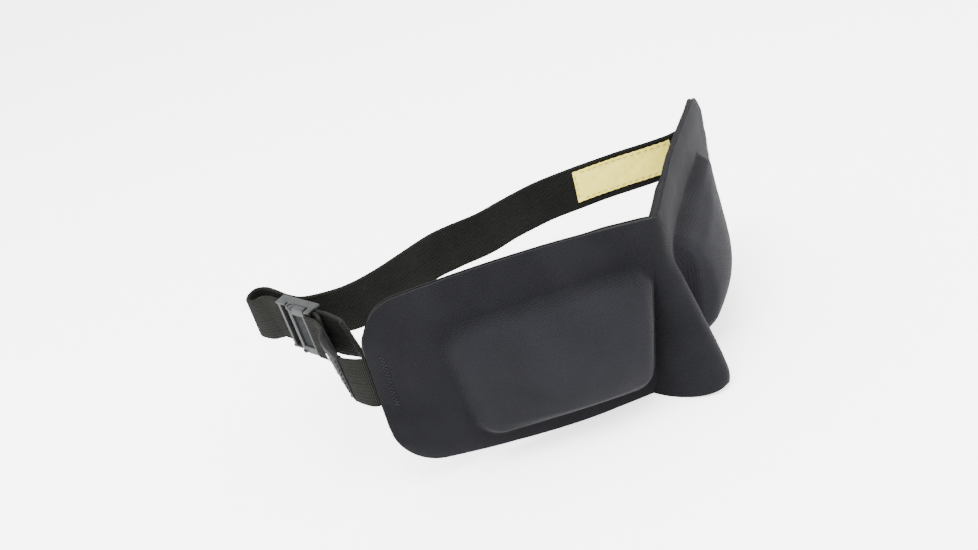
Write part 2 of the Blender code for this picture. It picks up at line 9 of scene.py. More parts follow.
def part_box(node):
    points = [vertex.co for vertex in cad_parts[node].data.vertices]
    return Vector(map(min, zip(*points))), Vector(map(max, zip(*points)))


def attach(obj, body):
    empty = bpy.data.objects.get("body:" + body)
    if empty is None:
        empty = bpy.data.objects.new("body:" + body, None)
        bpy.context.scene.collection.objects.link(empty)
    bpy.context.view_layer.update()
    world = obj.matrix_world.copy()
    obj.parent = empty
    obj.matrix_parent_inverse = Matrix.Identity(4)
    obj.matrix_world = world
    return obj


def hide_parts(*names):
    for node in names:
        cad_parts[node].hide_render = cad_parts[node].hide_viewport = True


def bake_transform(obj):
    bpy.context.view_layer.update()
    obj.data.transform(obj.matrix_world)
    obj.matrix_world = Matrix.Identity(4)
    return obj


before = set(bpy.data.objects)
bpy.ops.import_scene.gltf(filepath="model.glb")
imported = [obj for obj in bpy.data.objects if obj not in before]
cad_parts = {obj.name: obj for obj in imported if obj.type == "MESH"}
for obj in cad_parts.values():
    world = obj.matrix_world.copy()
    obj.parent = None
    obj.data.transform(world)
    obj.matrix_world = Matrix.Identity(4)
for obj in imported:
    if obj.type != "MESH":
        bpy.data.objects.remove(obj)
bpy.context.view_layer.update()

# Contoured sleep mask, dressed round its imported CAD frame. Sizes are in millimetres in the design
# frame of the CAD (x = 0 on the nose ridge, z = 0 on the lowest rim) and become metres in the row frame.
MM = 0.001

LOBE_SWEEP = math.radians(27.65)
LOBE_LENGTH = 121.4
LOBE_HEIGHT = 73.5
TOP_RISE = 7.0
BOTTOM_RISE = 12.7
BOTTOM_FLAT = 34.0
FOLD_Y = -3.5
FOLD_SOFTNESS = 3.5
TOP_CORNER_RADIUS = 16.0
BOTTOM_CORNER_RADIUS = 17.0
RIM_ROLL = 1.6
RIM_ROLL_WIDTH = 8.0
FLARE_HALF_WIDTH = 14.0
FLARE_TAPER = 0.142
FLARE_TOP_Z = 57.0
RIDGE_TOP_Z = 52.0
FLARE_REACH = 18.5
FLARE_TIP_RISE = 4.5
NOSE_SPAN = 20.0
CUP_OUTER_S = 95.5
CUP_OUTER_LEAN = 0.12
CUP_TOP_Z = 58.5
CUP_BOTTOM_Z = 4.5
CUP_CORNER_RADIUS = 11.0
CUP_STEP = 4.5
CUP_STEP_WIDTH = 4.6
CUP_CROWN = 12.0
COVER_THICKNESS = 0.6
LINING_THICKNESS = 0.6
EDGE_THICKNESS = 2.4
BODY_THICKNESS = 5.0
EDGE_TAPER_WIDTH = 9.0
NOSE_THICKNESS = 3.4
STRAP_WIDTH = 21.2
STRAP_THICKNESS = 1.6
ANCHOR_THICKNESS = 1.3
STRAP_Z = 50.4
POCKET_DEPTH = 14.0
POCKET_STRAP_DEPTH = 2.3
POCKET_SWELL = 2.0
BUCKLE_PLACE = Vector((-92.5, 112.7, 53.8))
BUCKLE_TILT = Euler((math.radians(4.5), math.radians(-6), math.radians(6)), "XYZ")
STRAP_LANE_X = 0.6
PIVOT_X = -2.0
PIVOT_Y = 3.0
ANCHOR_BAR_X = -2.9
ANCHOR_BAR_Y = -8.3
ANCHOR_BAR_RADIUS = 0.8

# Where the cloth departs from the CAD.
LOBE_BOW = 2.3
FLARE_SHARE = 0.6
FLARE_CLOTH = 26.0
LAYER_GAP = 0.03
FOAM_EDGE_SETBACK = 0.35
FOAM_END_SETBACK = 0.3
TIP_RISE = 2.2
TIP_ROUNDING = 2.4
TIP_ROUNDING_HEIGHT = 8.0

# Stitches as (length, gap, thread radius), and the offsets of the care label's long seams.
CARE_STITCH = (2.2, 0.9, 0.17)
SLEEVE_STITCH = (1.5, 0.6, 0.2)
BARTACK_STITCH = (1.3, 0.5, 0.2)
CARE_SEAMS = (7.4, -5.6)

# A wave node repeats once per unit at the first scale, and about once per unit at the second.
ONE_WAVE = 0.31416
BAND_SCALE = 0.31831

# Camera, floor and lamps. Angles are yaw, pitch and roll in degrees.
CAMERA_ANGLES = (-39.672, 25.981, -15.2)
CAMERA_PLACE = Vector((-291.05, -247.49, 251.6))
SENSOR_WIDTH = 36.0
LENS = 40.53
FLOOR_HALF = 6
FLOOR_GLOW = 1.6
ROOM_LIGHT = 3.6
LAMP_SIZE = 0.8
LAMP_AIM = Vector((0, 0, 0.05))
LAMPS = (("key", 36.0, (-0.3, -0.15, 1.25)), ("fill", 4.0, (-0.2, -0.9, 0.7)))

# Resolution of the dressed surfaces.
FLARE_STEPS = 22
ROOT_STEPS = 8
LOBE_STEPS = 92
ROW_STEPS = 84
STATION = 0.8
RIBS = 14


# ---------------------------------------------------------------- surface of the mask

def smoothstep(value):
    t = np.clip(value, 0.0, 1.0)
    return t * t * (3.0 - 2.0 * t)


def top_z(s):
    return LOBE_HEIGHT + TOP_RISE * (1.0 - (1.0 - s / 100.0) ** 2)


def bottom_z(s):
    return BOTTOM_RISE * (np.maximum(s - BOTTOM_FLAT, 0.0) / (LOBE_LENGTH - BOTTOM_FLAT)) ** 1.7


def corner_drop(s, radius):
    run = np.clip(s - (LOBE_LENGTH - radius), 0.0, radius)
    return radius - np.sqrt(radius ** 2 - run ** 2)


def row_limits(s):
    return bottom_z(s) + corner_drop(s, BOTTOM_CORNER_RADIUS), top_z(s) - corner_drop(s, TOP_CORNER_RADIUS)


def foot_s(z):
    return (FLARE_HALF_WIDTH - FLARE_TAPER * np.minimum(z, FLARE_TOP_Z)) / math.cos(LOBE_SWEEP)


def cup_outer_s(z):
    return CUP_OUTER_S - CUP_OUTER_LEAN * (CUP_TOP_Z - z)


def cup_inset(s, z):
    sides = np.minimum(s - foot_s(z), cup_outer_s(z) - s)
    ends = np.minimum(z - CUP_BOTTOM_Z - 0.085 * (s - 17.0), CUP_TOP_Z + 0.055 * (s - 12.0) - z)
    radius = CUP_CORNER_RADIUS
    corner = radius - np.hypot(radius - sides, radius - ends)
    return np.where((sides < radius) & (ends < radius), corner, np.minimum(sides, ends))


def cup_height(s, z):
    inset = cup_inset(s, z)
    along = np.clip((s - foot_s(z)) / (cup_outer_s(z) - foot_s(z)), 0.0, 1.0)
    across = np.clip((z - CUP_BOTTOM_Z) / (CUP_TOP_Z + 2.0 - CUP_BOTTOM_Z), 0.0, 1.0)
    crown = np.sin(math.pi * along ** 0.62) * np.sin(math.pi * across) ** 0.8
    height = CUP_STEP * smoothstep(inset / CUP_STEP_WIDTH) + CUP_CROWN * crown * smoothstep(inset / 9.0)
    return np.where(inset > 0.0, height, 0.0)


def rim_distance(s, z):
    low, high = row_limits(s)
    return np.maximum(np.minimum(np.minimum(z - low, high - z), LOBE_LENGTH - s), 0.0)


def lobe_point(s, z):
    s, z = np.broadcast_arrays(np.asarray(s, float), np.asarray(z, float))
    roll = np.maximum(1.0 - rim_distance(s, z) / RIM_ROLL_WIDTH, 0.0) ** 2
    height = cup_height(s, z) - RIM_ROLL * roll
    x = s * math.cos(LOBE_SWEEP) + height * math.sin(LOBE_SWEEP)
    y = FOLD_Y + s * math.sin(LOBE_SWEEP) - height * math.cos(LOBE_SWEEP)
    return np.stack([x, y, z], -1)


def ridge_y(z):
    return FOLD_Y - FLARE_REACH * (1.0 - np.minimum(z / RIDGE_TOP_Z, 1.0) ** 1.25)


def nose_point(turn, z):
    angle = turn * math.pi / 2.0
    half = FLARE_HALF_WIDTH - FLARE_TAPER * np.minimum(z, FLARE_TOP_Z)
    foot = lobe_point(foot_s(z), z)
    foot_x, foot_y = foot[..., 0], foot[..., 1]
    flare_x = half * math.sin(angle)
    front = ridge_y(z) + TIP_ROUNDING * np.maximum(1.0 - z / TIP_ROUNDING_HEIGHT, 0.0) ** 2
    flare_y = foot_y - (foot_y - front) * math.cos(angle)
    x = foot_x * turn
    slope = math.tan(LOBE_SWEEP)
    fold_y = foot_y - slope * (np.hypot(foot_x, FOLD_SOFTNESS) - np.hypot(x, FOLD_SOFTNESS))
    mix = smoothstep((z - 45.0) / 14.0)
    return np.stack([flare_x + (x - flare_x) * mix, flare_y + (fold_y - flare_y) * mix, z], -1)


def outer_grid():
    """Outer surface of the right half as [column, row, xyz], with each column's kind and distance."""
    rows = np.linspace(0.0, 1.0, ROW_STEPS + 1)
    columns, reaches = [], []
    for turn in np.linspace(0.0, 1.0, FLARE_STEPS + 1):
        low = TIP_RISE * (1.0 - math.sin(turn * math.pi / 2.0)) ** 1.2
        high = top_z(turn * foot_s(FLARE_TOP_Z))
        columns.append(nose_point(turn, low + (high - low) * rows))
        reaches.append(turn * NOSE_SPAN * FLARE_SHARE)
    for k in range(1, ROOT_STEPS + 1):
        low, high = row_limits(foot_s(FLARE_TOP_Z) * (1.0 - k / ROOT_STEPS) + NOSE_SPAN * k / ROOT_STEPS)
        z = low + (high - low) * rows
        start = foot_s(z)
        columns.append(lobe_point(start + (NOSE_SPAN - start) * k / ROOT_STEPS, z))
        reaches.append(NOSE_SPAN * (FLARE_SHARE + (1.0 - FLARE_SHARE) * k / ROOT_STEPS))
    for k in range(1, LOBE_STEPS + 1):
        part = k / LOBE_STEPS
        eased = math.sin(part * math.pi / 2.0) * 0.7 + part * 0.3
        s = NOSE_SPAN + (LOBE_LENGTH - NOSE_SPAN) * eased
        low, high = row_limits(s)
        columns.append(lobe_point(s, low + (high - low) * rows))
        reaches.append(s)
    return np.array(columns), np.array(reaches)


def inward_field(points):
    """Level directions into the mask, softened so that the offset layers don't cross in tight bends."""
    across = np.empty_like(points)
    across[1:-1] = points[2:] - points[:-2]
    across[0] = (1.0, 0.0, 0.0)
    across[-4:] = (math.cos(LOBE_SWEEP), math.sin(LOBE_SWEEP), 0.0)
    up = np.empty_like(points)
    up[:, 1:-1] = points[:, 2:] - points[:, :-2]
    up[:, 0] = points[:, 1] - points[:, 0]
    up[:, -1] = points[:, -1] - points[:, -2]
    normal = np.cross(up, across)
    normal /= np.linalg.norm(normal, axis=-1, keepdims=True)
    field = normal.copy()
    field[..., 2] = 0.0
    steep = np.maximum(np.linalg.norm(field, axis=-1, keepdims=True), 0.6)
    field /= np.linalg.norm(field, axis=-1, keepdims=True) * steep
    for _ in range(6):
        field[1:-1] = field[1:-1] * 0.5 + (field[2:] + field[:-2]) * 0.25
        field[:, 1:-1] = field[:, 1:-1] * 0.5 + (field[:, 2:] + field[:, :-2]) * 0.25
        field[0, :, 0] = 0.0
    return field


def thickness_grid(points, reaches):
    s = np.where(reaches > NOSE_SPAN, reaches, NOSE_SPAN)[:, None] + 0.0 * points[..., 2]
    z = points[..., 2]
    taper = smoothstep(rim_distance(s, z) / EDGE_TAPER_WIDTH)
    full = EDGE_THICKNESS + (BODY_THICKNESS - EDGE_THICKNESS) * taper
    swell = POCKET_SWELL * smoothstep((s - LOBE_LENGTH + 22.0) / 12.0)
    swell = swell * (1.0 - smoothstep((np.abs(z - STRAP_Z) - STRAP_WIDTH / 2.0 - 2.0) / 5.0))
    return NOSE_THICKNESS + (full - NOSE_THICKNESS) * smoothstep((s - NOSE_SPAN) / 12.0) + swell


def surface_frame(side, s, z, depth):
    here = Vector(lobe_point(s, z))
    ahead = Vector(lobe_point(min(s + 0.5, LOBE_LENGTH), z)) - Vector(lobe_point(s - 0.5, z))
    inner = Vector((-ahead.y, ahead.x, 0.0)).normalized()
    place = here + inner * depth
    return Vector((side * place.x, place.y, place.z))


# ---------------------------------------------------------------- row frame and mesh helpers

def row_shift():
    """Design frame to row frame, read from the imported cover."""
    low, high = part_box("front_cover")
    tip = float(ridge_y(FLARE_TIP_RISE))
    return Vector(((low.x + high.x) / 2, low.y - tip * MM, 0.0))


SHIFT = row_shift()


def bowed(verts):
    """Right lobe let out a little against the symmetric CAD."""
    x, y = verts[:, 0], verts[:, 1]
    reach = LOBE_BOW * smoothstep((x - 30.0) / 60.0) * (1.0 - smoothstep((y - 58.0) / 22.0))
    moved = verts.copy()
    moved[:, 0] += reach * math.sin(LOBE_SWEEP)
    moved[:, 1] -= reach * math.cos(LOBE_SWEEP)
    return moved


def make_mesh(name, verts, faces, mats, uvs=None, sharp=40.0):
    """Mesh object from design millimetres; uvs are one pair per vertex, in millimetres."""
    verts = bowed(np.asarray(verts, float)) * MM + np.array(SHIFT)
    mesh = bpy.data.meshes.new(name)
    mesh.from_pydata(verts.tolist(), [], [list(f) for f in faces])
    for mat in mats:
        mesh.materials.append(mat)
    if uvs is not None:
        layer = mesh.uv_layers.new(name="cloth")
        corner = np.empty(len(mesh.loops), np.int32)
        mesh.loops.foreach_get("vertex_index", corner)
        layer.data.foreach_set("uv", np.asarray(uvs, np.float32)[corner].ravel())
    mesh.update()
    mesh.shade_smooth()
    mesh.set_sharp_from_angle(angle=math.radians(sharp))
    obj = bpy.data.objects.new(name, mesh)
    bpy.context.scene.collection.objects.link(obj)
    return obj


def wobble(points, scale, seed):
    """Smooth noise at each design point, from -1 to 1."""
    flat = points.reshape(-1, 3)
    values = [noise.noise(Vector((p[0] / scale + seed, p[1] / scale, p[2] / scale))) for p in flat]
    return np.array(values).reshape(points.shape[:-1])


def both_sides(half):
    """Whole width of the mask from its right half."""
    mirrored = half[:0:-1].copy()
    mirrored[..., 0] *= -1.0
    return np.concatenate([mirrored, half])


def layer_mesh(name, front, back, uv, mats):
    """Closed sheet between two grids of [column, row, xyz]."""
    wide, tall = front.shape[:2]
    index = np.arange(wide * tall).reshape(wide, tall)
    a, b, c, d = index[:-1, :-1], index[1:, :-1], index[1:, 1:], index[:-1, 1:]
    faces = np.stack([a, b, c, d], -1).reshape(-1, 4)
    base = wide * tall
    under = faces[:, ::-1] + base
    ring = np.concatenate([index[:, 0], index[-1, 1:], index[-2::-1, -1], index[0, -2:0:-1]])
    follow = np.roll(ring, -1)
    rim = np.stack([ring, ring + base, follow + base, follow], -1)
    verts = np.concatenate([front.reshape(-1, 3), back.reshape(-1, 3)])
    faces = np.concatenate([faces, under, rim])
    return make_mesh(name, verts, faces, mats, np.concatenate([uv, uv]).reshape(-1, 2))


# ---------------------------------------------------------------- ribbons

def spline(points, steps):
    curve = []
    last = len(points) - 1
    for i in range(last):
        p0, p1, p2, p3 = (points[min(max(i + k, 0), last)] for k in (-1, 0, 1, 2))
        for k in range(steps):
            t = k / steps
            curve.append(0.5 * ((2 * p1) + (p2 - p0) * t + (2 * p0 - 5 * p1 + 4 * p2 - p3) * t * t
                                + (3 * p1 - p0 - 3 * p2 + p3) * t ** 3))
    curve.append(points[-1].copy())
    return curve


def stations(points, spacing=STATION):
    """Evenly spaced (centre, up) pairs along a smooth curve through the given ones."""
    centres = spline([p for p, _ in points], 24)
    ups = spline([u for _, u in points], 24)
    run = np.concatenate([[0.0], np.cumsum([(b - a).length for a, b in zip(centres, centres[1:])])])
    count = max(int(round(run[-1] / spacing)), 2)
    wanted = np.linspace(0.0, run[-1], count + 1)
    c = np.array(centres)
    u = np.array(ups)
    place = np.stack([np.interp(wanted, run, c[:, k]) for k in range(3)], -1)
    lean = np.stack([np.interp(wanted, run, u[:, k]) for k in range(3)], -1)
    return [(Vector(p), Vector(q).normalized()) for p, q in zip(place, lean)]


def level(x, y, z=STRAP_Z):
    return Vector((x, y, z)), Vector((0.0, 0.0, 1.0))


def leaning(x, y, z, lean_x, lean_y):
    return Vector((x, y, z)), Vector((lean_x, lean_y, 1.0)).normalized()


def in_buckle(x, y):
    turn = BUCKLE_TILT.to_matrix()
    return BUCKLE_PLACE + turn @ Vector((x, y, 0.0)), turn @ Vector((0.0, 0.0, 1.0))


def pocket_route(side):
    reach = [LOBE_LENGTH - POCKET_DEPTH + 1.0 + 2.5 * k for k in range(6)]
    return [(surface_frame(side, s, STRAP_Z, POCKET_STRAP_DEPTH), Vector((0, 0, 1))) for s in reach]


def strap_route():
    """Right lobe, round the head, doubled back, through the buckle and out to the free end."""
    bulge = [level(107.1, 57.0), level(108.2, 59.3), level(107.0, 61.9), level(103.2, 63.6),
             level(98.8, 64.4)]
    back = [level(93.5, 65.8), level(83, 71.5), level(69, 80), level(54, 88), level(37.5, 95.5)]
    rear = [level(20, 99.5), level(2, 101.5), level(-12, 106.5), level(-24, 109.5), level(-40, 109)]
    side = [level(-55, 109), level(-67, 110.5), leaning(-76, 115.5, 50.7, -0.04, -0.05)]
    end = [leaning(-83.2, 124, 51.0, -0.1, -0.15), leaning(-85.6, 131.5, 52.4, -0.14, -0.2),
           leaning(-86.4, 138, 53.9, -0.15, -0.24)]
    turn = [leaning(-87.3, 144.2, 54.7, -0.16, -0.27), leaning(-90.0, 148.0, 54.7, -0.16, -0.27),
            leaning(-94.0, 148.4, 53.9, -0.16, -0.27), leaning(-96.4, 145.4, 53.1, -0.16, -0.26)]
    slack = [leaning(-96.2, 140.4, 52.9, -0.14, -0.22), leaning(-95.2, 136.2, 53.9, -0.12, -0.16)]
    lane = [in_buckle(STRAP_LANE_X, y) for y in (19.5, 14.0, 6.0, -2.0, -10.0, -15.4)]
    free = [leaning(-90.6, 86.8, 53.4, -0.25, -0.24), leaning(-92.6, 81.2, 53.7, -0.43, -0.35)]
    return stations(pocket_route(1) + bulge + back + rear + side + end + turn + slack + lane + free)


def anchor_route():
    rise = [level(-107.1, 57.1), leaning(-108.4, 60.8, STRAP_Z, -0.03, 0.0),
            leaning(-108.9, 67.5, 50.6, -0.1, -0.02), leaning(-106.3, 76, 51.1, -0.18, -0.05),
            leaning(-102.7, 84, 51.6, -0.22, -0.07), leaning(-98.1, 90.5, 52.2, -0.2, -0.09)]
    outer = [in_buckle(-5.2, -14.5), in_buckle(-4.7, -11.4)]
    radius = ANCHOR_BAR_RADIUS + 0.25 + ANCHOR_THICKNESS / 2.0
    wrap = []
    for k in range(5):
        angle = math.pi * (1.0 - k / 4.0)
        wrap.append(in_buckle(ANCHOR_BAR_X + radius * math.cos(angle),
                              ANCHOR_BAR_Y + radius * math.sin(angle)))
    inner = [in_buckle(-1.5, -11.2), in_buckle(-3.9, -15.2)]
    return stations(pocket_route(-1) + rise + outer + wrap + inner, 0.6)


def path_frames(path):
    """Arrays of centres, ups, face normals and run along a path."""
    centres = np.array([c for c, _ in path])
    ups = np.array([u for _, u in path])
    ahead = np.empty_like(centres)
    ahead[1:-1] = centres[2:] - centres[:-2]
    ahead[0] = centres[1] - centres[0]
    ahead[-1] = centres[-1] - centres[-2]
    ahead /= np.linalg.norm(ahead, axis=1, keepdims=True)
    face = np.cross(ahead, ups)
    face /= np.linalg.norm(face, axis=1, keepdims=True)
    ups = np.cross(face, ahead)
    run = np.concatenate([[0.0], np.cumsum(np.linalg.norm(np.diff(centres, axis=0), axis=1))])
    return centres, ups, face, run


def webbing(name, path, width, thickness, mats, rib=0.24, ribs=RIBS, bend=None):
    """Woven band with raised lengthwise ribs and a thin selvedge on both edges."""
    centres, ups, face, run = path_frames(path)
    across = np.linspace(-1.0, 1.0, ribs * 6 + 5)
    selvedge = smoothstep((1.0 - np.abs(across)) / 0.055)
    ridge = np.abs(np.sin(math.pi * ribs * (across + 1.0) / 2.0)) ** 0.7
    height = (thickness / 2.0 - 0.16) * (0.45 + 0.55 * selvedge) + rib * ridge * selvedge
    offset = across * width / 2.0
    sway = np.zeros((len(path), len(across))) if bend is None else bend(run, across)
    base = centres[:, None] + ups[:, None] * offset[None, :, None] + face[:, None] * sway[..., None]
    front = base + face[:, None] * height[None, :, None]
    back = base - face[:, None] * height[None, :, None]
    uv = np.stack(np.broadcast_arrays(run[:, None], offset[None, :]), -1)
    return layer_mesh(name, back, front, uv, mats)


def length_of(path):
    """Length of a path of design millimetres, in metres."""
    return float(path_frames(path)[3][-1]) * MM


def side_line(path, offset_up, offset_face):
    """Points on a band, offset along its width and its face."""
    centres, ups, face, _ = path_frames(path)
    return centres + ups * offset_up + face * offset_face


def tube(points, radius, sides=8, closed=False):
    """Vertices and faces of a thread along an array of points."""
    points = np.asarray(points, float)
    if closed:
        ahead = np.roll(points, -1, 0) - np.roll(points, 1, 0)
    else:
        ahead = np.gradient(points, axis=0)
    ahead /= np.linalg.norm(ahead, axis=1, keepdims=True)
    side = np.cross(ahead, (0.31, 0.52, 0.79))
    side /= np.linalg.norm(side, axis=1, keepdims=True)
    over = np.cross(ahead, side)
    angle = np.linspace(0, 2 * math.pi, sides, endpoint=False)
    radii = np.full(len(points), radius)
    if not closed:
        radii[0] = radii[-1] = radius * 0.5
    ring = points[:, None] + radii[:, None, None] * (np.cos(angle)[None, :, None] * side[:, None]
                                                     + np.sin(angle)[None, :, None] * over[:, None])
    faces = []
    count = len(points)
    for k in range(count if closed else count - 1):
        a, b = k * sides, ((k + 1) % count) * sides
        for m in range(sides):
            n = (m + 1) % sides
            faces.append((a + m, a + n, b + n, b + m))
    if not closed:
        faces.append(tuple(range(sides - 1, -1, -1)))
        faces.append(tuple((count - 1) * sides + m for m in range(sides)))
    return ring.reshape(-1, 3), faces


def threads(name, lines, radius, mat):
    """Many separate stitches in one object."""
    verts, faces, total = [], [], 0
    for line in lines:
        v, f = tube(line, radius, 6)
        verts.append(v)
        faces += [tuple(total + i for i in face) for face in f]
        total += len(v)
    return make_mesh(name, np.concatenate(verts), faces, [mat])


def running_stitch(points, normals, length, gap, radius):
    """Short arched stitches along a line of points."""
    points = np.asarray(points, float)
    run = np.concatenate([[0.0], np.cumsum(np.linalg.norm(np.diff(points, axis=0), axis=1))])
    lines = []
    start = gap
    while start + length < run[-1]:
        part = np.linspace(start, start + length, 7)
        place = np.stack([np.interp(part, run, points[:, k]) for k in range(3)], -1)
        lift = np.stack([np.interp(part, run, normals[:, k]) for k in range(3)], -1)
        arch = np.sin(np.linspace(0.0, math.pi, 7))[:, None] * radius * 1.6 - radius * 0.9
        lines.append(place + lift * arch)
        start += length + gap
    return lines


# ---------------------------------------------------------------- materials

class Shade:
    """Small helper round one material's node tree."""

    def __init__(self, name):
        self.mat = bpy.data.materials.new(name)
        self.mat.use_nodes = True
        self.tree = self.mat.node_tree
        self.shader = self.tree.nodes["Principled BSDF"]

    def node(self, kind, **settings):
        made = self.tree.nodes.new(kind)
        for key, value in settings.items():
            if key in made.bl_rna.properties:
                setattr(made, key, value)
            else:
                made.inputs[key.replace("_", " ")].default_value = value
        return made

    def link(self, a, b):
        self.tree.links.new(a, b)

    def uv(self, u_scale, v_scale, turn=0.0):
        source = self.node("ShaderNodeUVMap", uv_map="cloth")
        place = self.node("ShaderNodeMapping")
        place.inputs["Scale"].default_value = (u_scale, v_scale, 1.0)
        place.inputs["Rotation"].default_value = (0.0, 0.0, turn)
        self.link(source.outputs["UV"], place.inputs["Vector"])
        return place.outputs["Vector"]

    def solid(self, scale):
        source = self.node("ShaderNodeTexCoord")
        place = self.node("ShaderNodeMapping")
        place.inputs["Scale"].default_value = (scale, scale, scale)
        self.link(source.outputs["Object"], place.inputs["Vector"])
        return place.outputs["Vector"]

    def noise(self, vector, scale, detail=3.0, rough=0.6):
        made = self.node("ShaderNodeTexNoise", Scale=scale, Detail=detail, Roughness=rough)
        self.link(vector, made.inputs["Vector"])
        return made.outputs["Fac"]

    def wave(self, vector, scale, direction, distortion=0.0, profile="SIN"):
        made = self.node("ShaderNodeTexWave", wave_type="BANDS", bands_direction=direction,
                         wave_profile=profile, Scale=scale, Distortion=distortion)
        self.link(vector, made.inputs["Vector"])
        return made.outputs["Fac"]

    def math(self, operation, a, b):
        made = self.node("ShaderNodeMath", operation=operation)
        for socket, value in zip(made.inputs, (a, b)):
            if isinstance(value, (int, float)):
                socket.default_value = value
            else:
                self.link(value, socket)
        return made.outputs["Value"]

    def ramp(self, value, stops):
        made = self.node("ShaderNodeValToRGB")
        ramp = made.color_ramp
        ramp.elements[0].position, ramp.elements[0].color = stops[0][0], (*stops[0][1], 1.0)
        ramp.elements[1].position, ramp.elements[1].color = stops[-1][0], (*stops[-1][1], 1.0)
        for position, colour in stops[1:-1]:
            ramp.elements.new(position).color = (*colour, 1.0)
        self.link(value, made.inputs["Fac"])
        return made.outputs["Color"]

    def colour(self, output):
        self.link(output, self.shader.inputs["Base Color"])

    def bump(self, height, distance, strength=1.0, after=None):
        made = self.node("ShaderNodeBump", Strength=strength, Distance=distance)
        self.link(height, made.inputs["Height"])
        if after is not None:
            self.link(after, made.inputs["Normal"])
        return made.outputs["Normal"]

    def finish(self, roughness, normal=None, sheen=0.0, sheen_rough=0.5, specular=0.5):
        sockets = self.shader.inputs
        if isinstance(roughness, (int, float)):
            sockets["Roughness"].default_value = roughness
        else:
            self.link(roughness, sockets["Roughness"])
        sockets["Sheen Weight"].default_value = sheen
        sockets["Sheen Roughness"].default_value = sheen_rough
        sockets["Specular IOR Level"].default_value = specular
        if normal is not None:
            self.link(normal, sockets["Normal"])
        return self.mat


def tinted(colour, factor):
    return tuple(c * factor for c in colour)


def knit_material(name, base, pitch, sheen, contrast):
    """Fine weft knit: wales and courses, heathered yarn, soft nap, slight wear, and painted light that
    makes the cup faces paler.
    """
    s = Shade(name)
    fabric = s.uv(1.0, 1.0)
    wales = s.wave(fabric, ONE_WAVE / pitch, "X", 1.6)
    courses = s.wave(fabric, ONE_WAVE / (pitch * 1.25), "Y", 2.2)
    loops = s.math("MULTIPLY", wales, courses)
    yarn = s.noise(fabric, 1.3 / pitch, 5.0, 0.8)
    nap = s.noise(s.solid(1800.0), 1.0, 3.0, 0.7)
    wear = s.noise(s.solid(38.0), 1.0, 3.0, 0.55)
    grain = s.math("ADD", s.math("MULTIPLY", loops, 0.16), s.math("MULTIPLY", yarn, 0.84))
    shade = s.math("ADD", s.math("MULTIPLY", grain, 0.82), s.math("MULTIPLY", wear, 0.18))
    # Painted light: the cup faces are made paler, standing in for the light that falls on them.
    light_on_cups = s.node("ShaderNodeAttribute", attribute_name="painted_cup_light").outputs["Fac"]
    shade = s.math("ADD", shade, s.math("MULTIPLY", light_on_cups, 0.075))
    stops = [(0.30, tinted(base, 1.0 - contrast)), (0.48, base), (0.66, tinted(base, 1.0 + contrast))]
    s.colour(s.ramp(shade, stops))
    relief = s.bump(loops, 0.00006, 0.5)
    relief = s.bump(yarn, 0.00012, 0.6, relief)
    relief = s.bump(nap, 0.00008, 0.5, relief)
    return s.finish(0.92, relief, sheen, 0.4, 0.05)


def foam_material():
    s = Shade("trimmed_foam")
    cells = s.noise(s.solid(2600.0), 1.0, 4.0, 0.7)
    s.colour(s.ramp(cells, [(0.3, (0.002, 0.002, 0.0024)), (0.7, (0.008, 0.008, 0.009))]))
    return s.finish(0.95, s.bump(cells, 0.0002, 0.8), 0.04, 0.5, 0.08)


def elastic_material():
    """Ribbed woven elastic: rubber ribs lengthwise, weft picks across, fuzzy pale fibres."""
    s = Shade("ribbed_elastic")
    cloth = s.uv(1.0, 1.0)
    picks = s.wave(cloth, BAND_SCALE * 1.55, "X", 0.6)
    rib_rows = s.wave(cloth, BAND_SCALE * RIBS / STRAP_WIDTH, "Y", 0.15)
    fibre = s.noise(cloth, 3.2, 4.0, 0.75)
    fade = s.noise(s.solid(60.0), 1.0, 2.0, 0.5)
    weave = s.math("ADD", s.math("MULTIPLY", picks, 0.34), s.math("MULTIPLY", fibre, 0.5))
    weave = s.math("ADD", weave, s.math("MULTIPLY", fade, 0.16))
    s.colour(s.ramp(weave, [(0.28, (0.0010, 0.0010, 0.0009)), (0.5, (0.0064, 0.0065, 0.0058)),
                            (0.74, (0.020, 0.020, 0.0175))]))
    relief = s.bump(picks, 0.00014, 0.6)
    relief = s.bump(rib_rows, 0.00006, 0.3, relief)
    relief = s.bump(fibre, 0.00012, 0.5, relief)
    return s.finish(0.9, relief, 0.015, 0.4, 0.03)


def label_material():
    """Satin tape, pale yellow, with fine weft lines, creases and faint wrinkles."""
    s = Shade("satin_tape")
    cloth = s.uv(1.0, 1.0)
    weft = s.wave(cloth, BAND_SCALE * 4.0, "X", 0.3)
    crease = s.noise(s.uv(0.35, 0.12), 1.0, 3.0, 0.6)
    tone = s.noise(cloth, 0.35, 4.0, 0.6)
    mixed = s.math("ADD", s.math("MULTIPLY", tone, 0.7), s.math("MULTIPLY", weft, 0.3))
    s.colour(s.ramp(mixed, [(0.25, (0.84, 0.68, 0.07)), (0.55, (0.93, 0.80, 0.13)),
                            (0.8, (0.96, 0.88, 0.24))]))
    relief = s.bump(weft, 0.00005, 0.4)
    relief = s.bump(crease, 0.0006, 0.5, relief)
    return s.finish(0.5, relief, 0.15, 0.3, 0.45)


def black_tape_material():
    """Black satin tape of the folded label."""
    s = Shade("black_satin")
    cloth = s.uv(1.0, 1.0)
    weft = s.wave(cloth, BAND_SCALE * 4.2, "X", 0.3)
    tone = s.noise(cloth, 1.2, 4.0, 0.6)
    s.colour(s.ramp(tone, [(0.3, (0.002, 0.0021, 0.0022)), (0.7, (0.007, 0.0072, 0.0072))]))
    relief = s.bump(weft, 0.00008, 0.5)
    relief = s.bump(tone, 0.0001, 0.3, relief)
    return s.finish(0.7, relief, 0.015, 0.35, 0.05)


